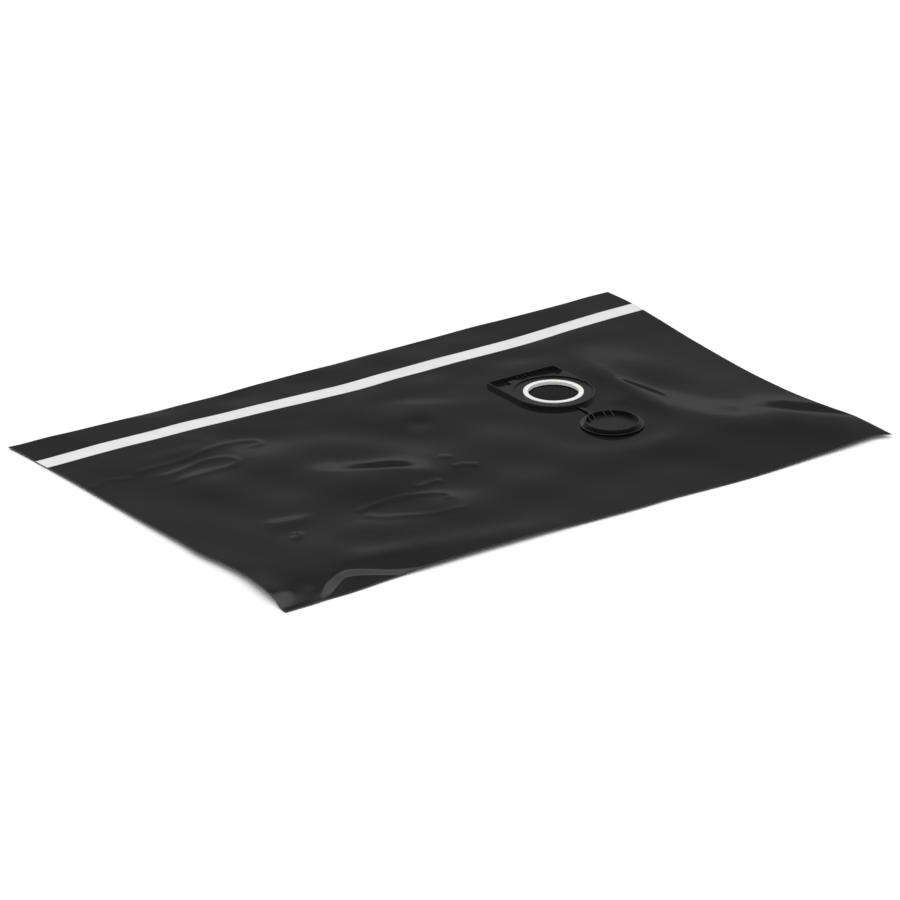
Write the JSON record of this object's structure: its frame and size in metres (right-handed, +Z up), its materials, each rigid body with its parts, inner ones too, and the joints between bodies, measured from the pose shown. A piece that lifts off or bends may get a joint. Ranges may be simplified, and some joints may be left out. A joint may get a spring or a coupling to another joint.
{
  "type": "dust extractor disposal bag",
  "caption": "Flat black film disposal bag with a rigid port flange, white rubber seal, tethered snap cap and a peel-off closing strip beside its open mouth.",
  "frame": {"origin": "centre of the bag's outline on the plane it rests on", "axes": "+X along the open mouth, +Y from the closed end to the mouth, +Z up, normal to the film"},
  "size_m": [0.77, 0.504, 0.0085],
  "materials": {
    "film": "glossy polyethylene film",
    "flange": "satin moulded",
    "cap": "satin moulded",
    "seal": "satin elastomer",
    "liner": "matt coated paper",
    "adhesive": "tacky, clear"
  },
  "bodies": {
    "bag": {"upper_panel": "film", "lower_panel": "film", "left_edge_weld": "film", "right_edge_weld": "film", "bottom_edge_weld": "film", "adhesive_strip": "adhesive", "flange_plate": "flange", "clamp_ring": "flange", "seal_ring": "seal", "strap_base": "cap"},
    "cap": {"cap": "cap", "strap_end": "cap"},
    "mouth_flap": {"upper_mouth_flap": "film", "lower_mouth_flap": "film", "mouth_flap_welds": "film"},
    "liner": {"release_liner": "liner"}
  },
  "joints": [
    {"name": "cap_flip", "type": "hinge", "parent": "bag", "child": "cap", "pos_m": [0.1635, -0.0072, 0.00543], "axis": [-1, 0, 0], "range_deg": [0, 179.7], "deforming": ["seal_ring"]},
    {"name": "mouth_flap_fold", "type": "hinge", "parent": "bag", "child": "mouth_flap", "pos_m": [0, 0.208, 0.0036], "axis": [1, 0, 0], "range_deg": [0, 178]},
    {"name": "liner_peel", "type": "slide", "parent": "bag", "child": "liner", "axis": [0, 0, 1], "range_m": [0, 0.06]}
  ]
}
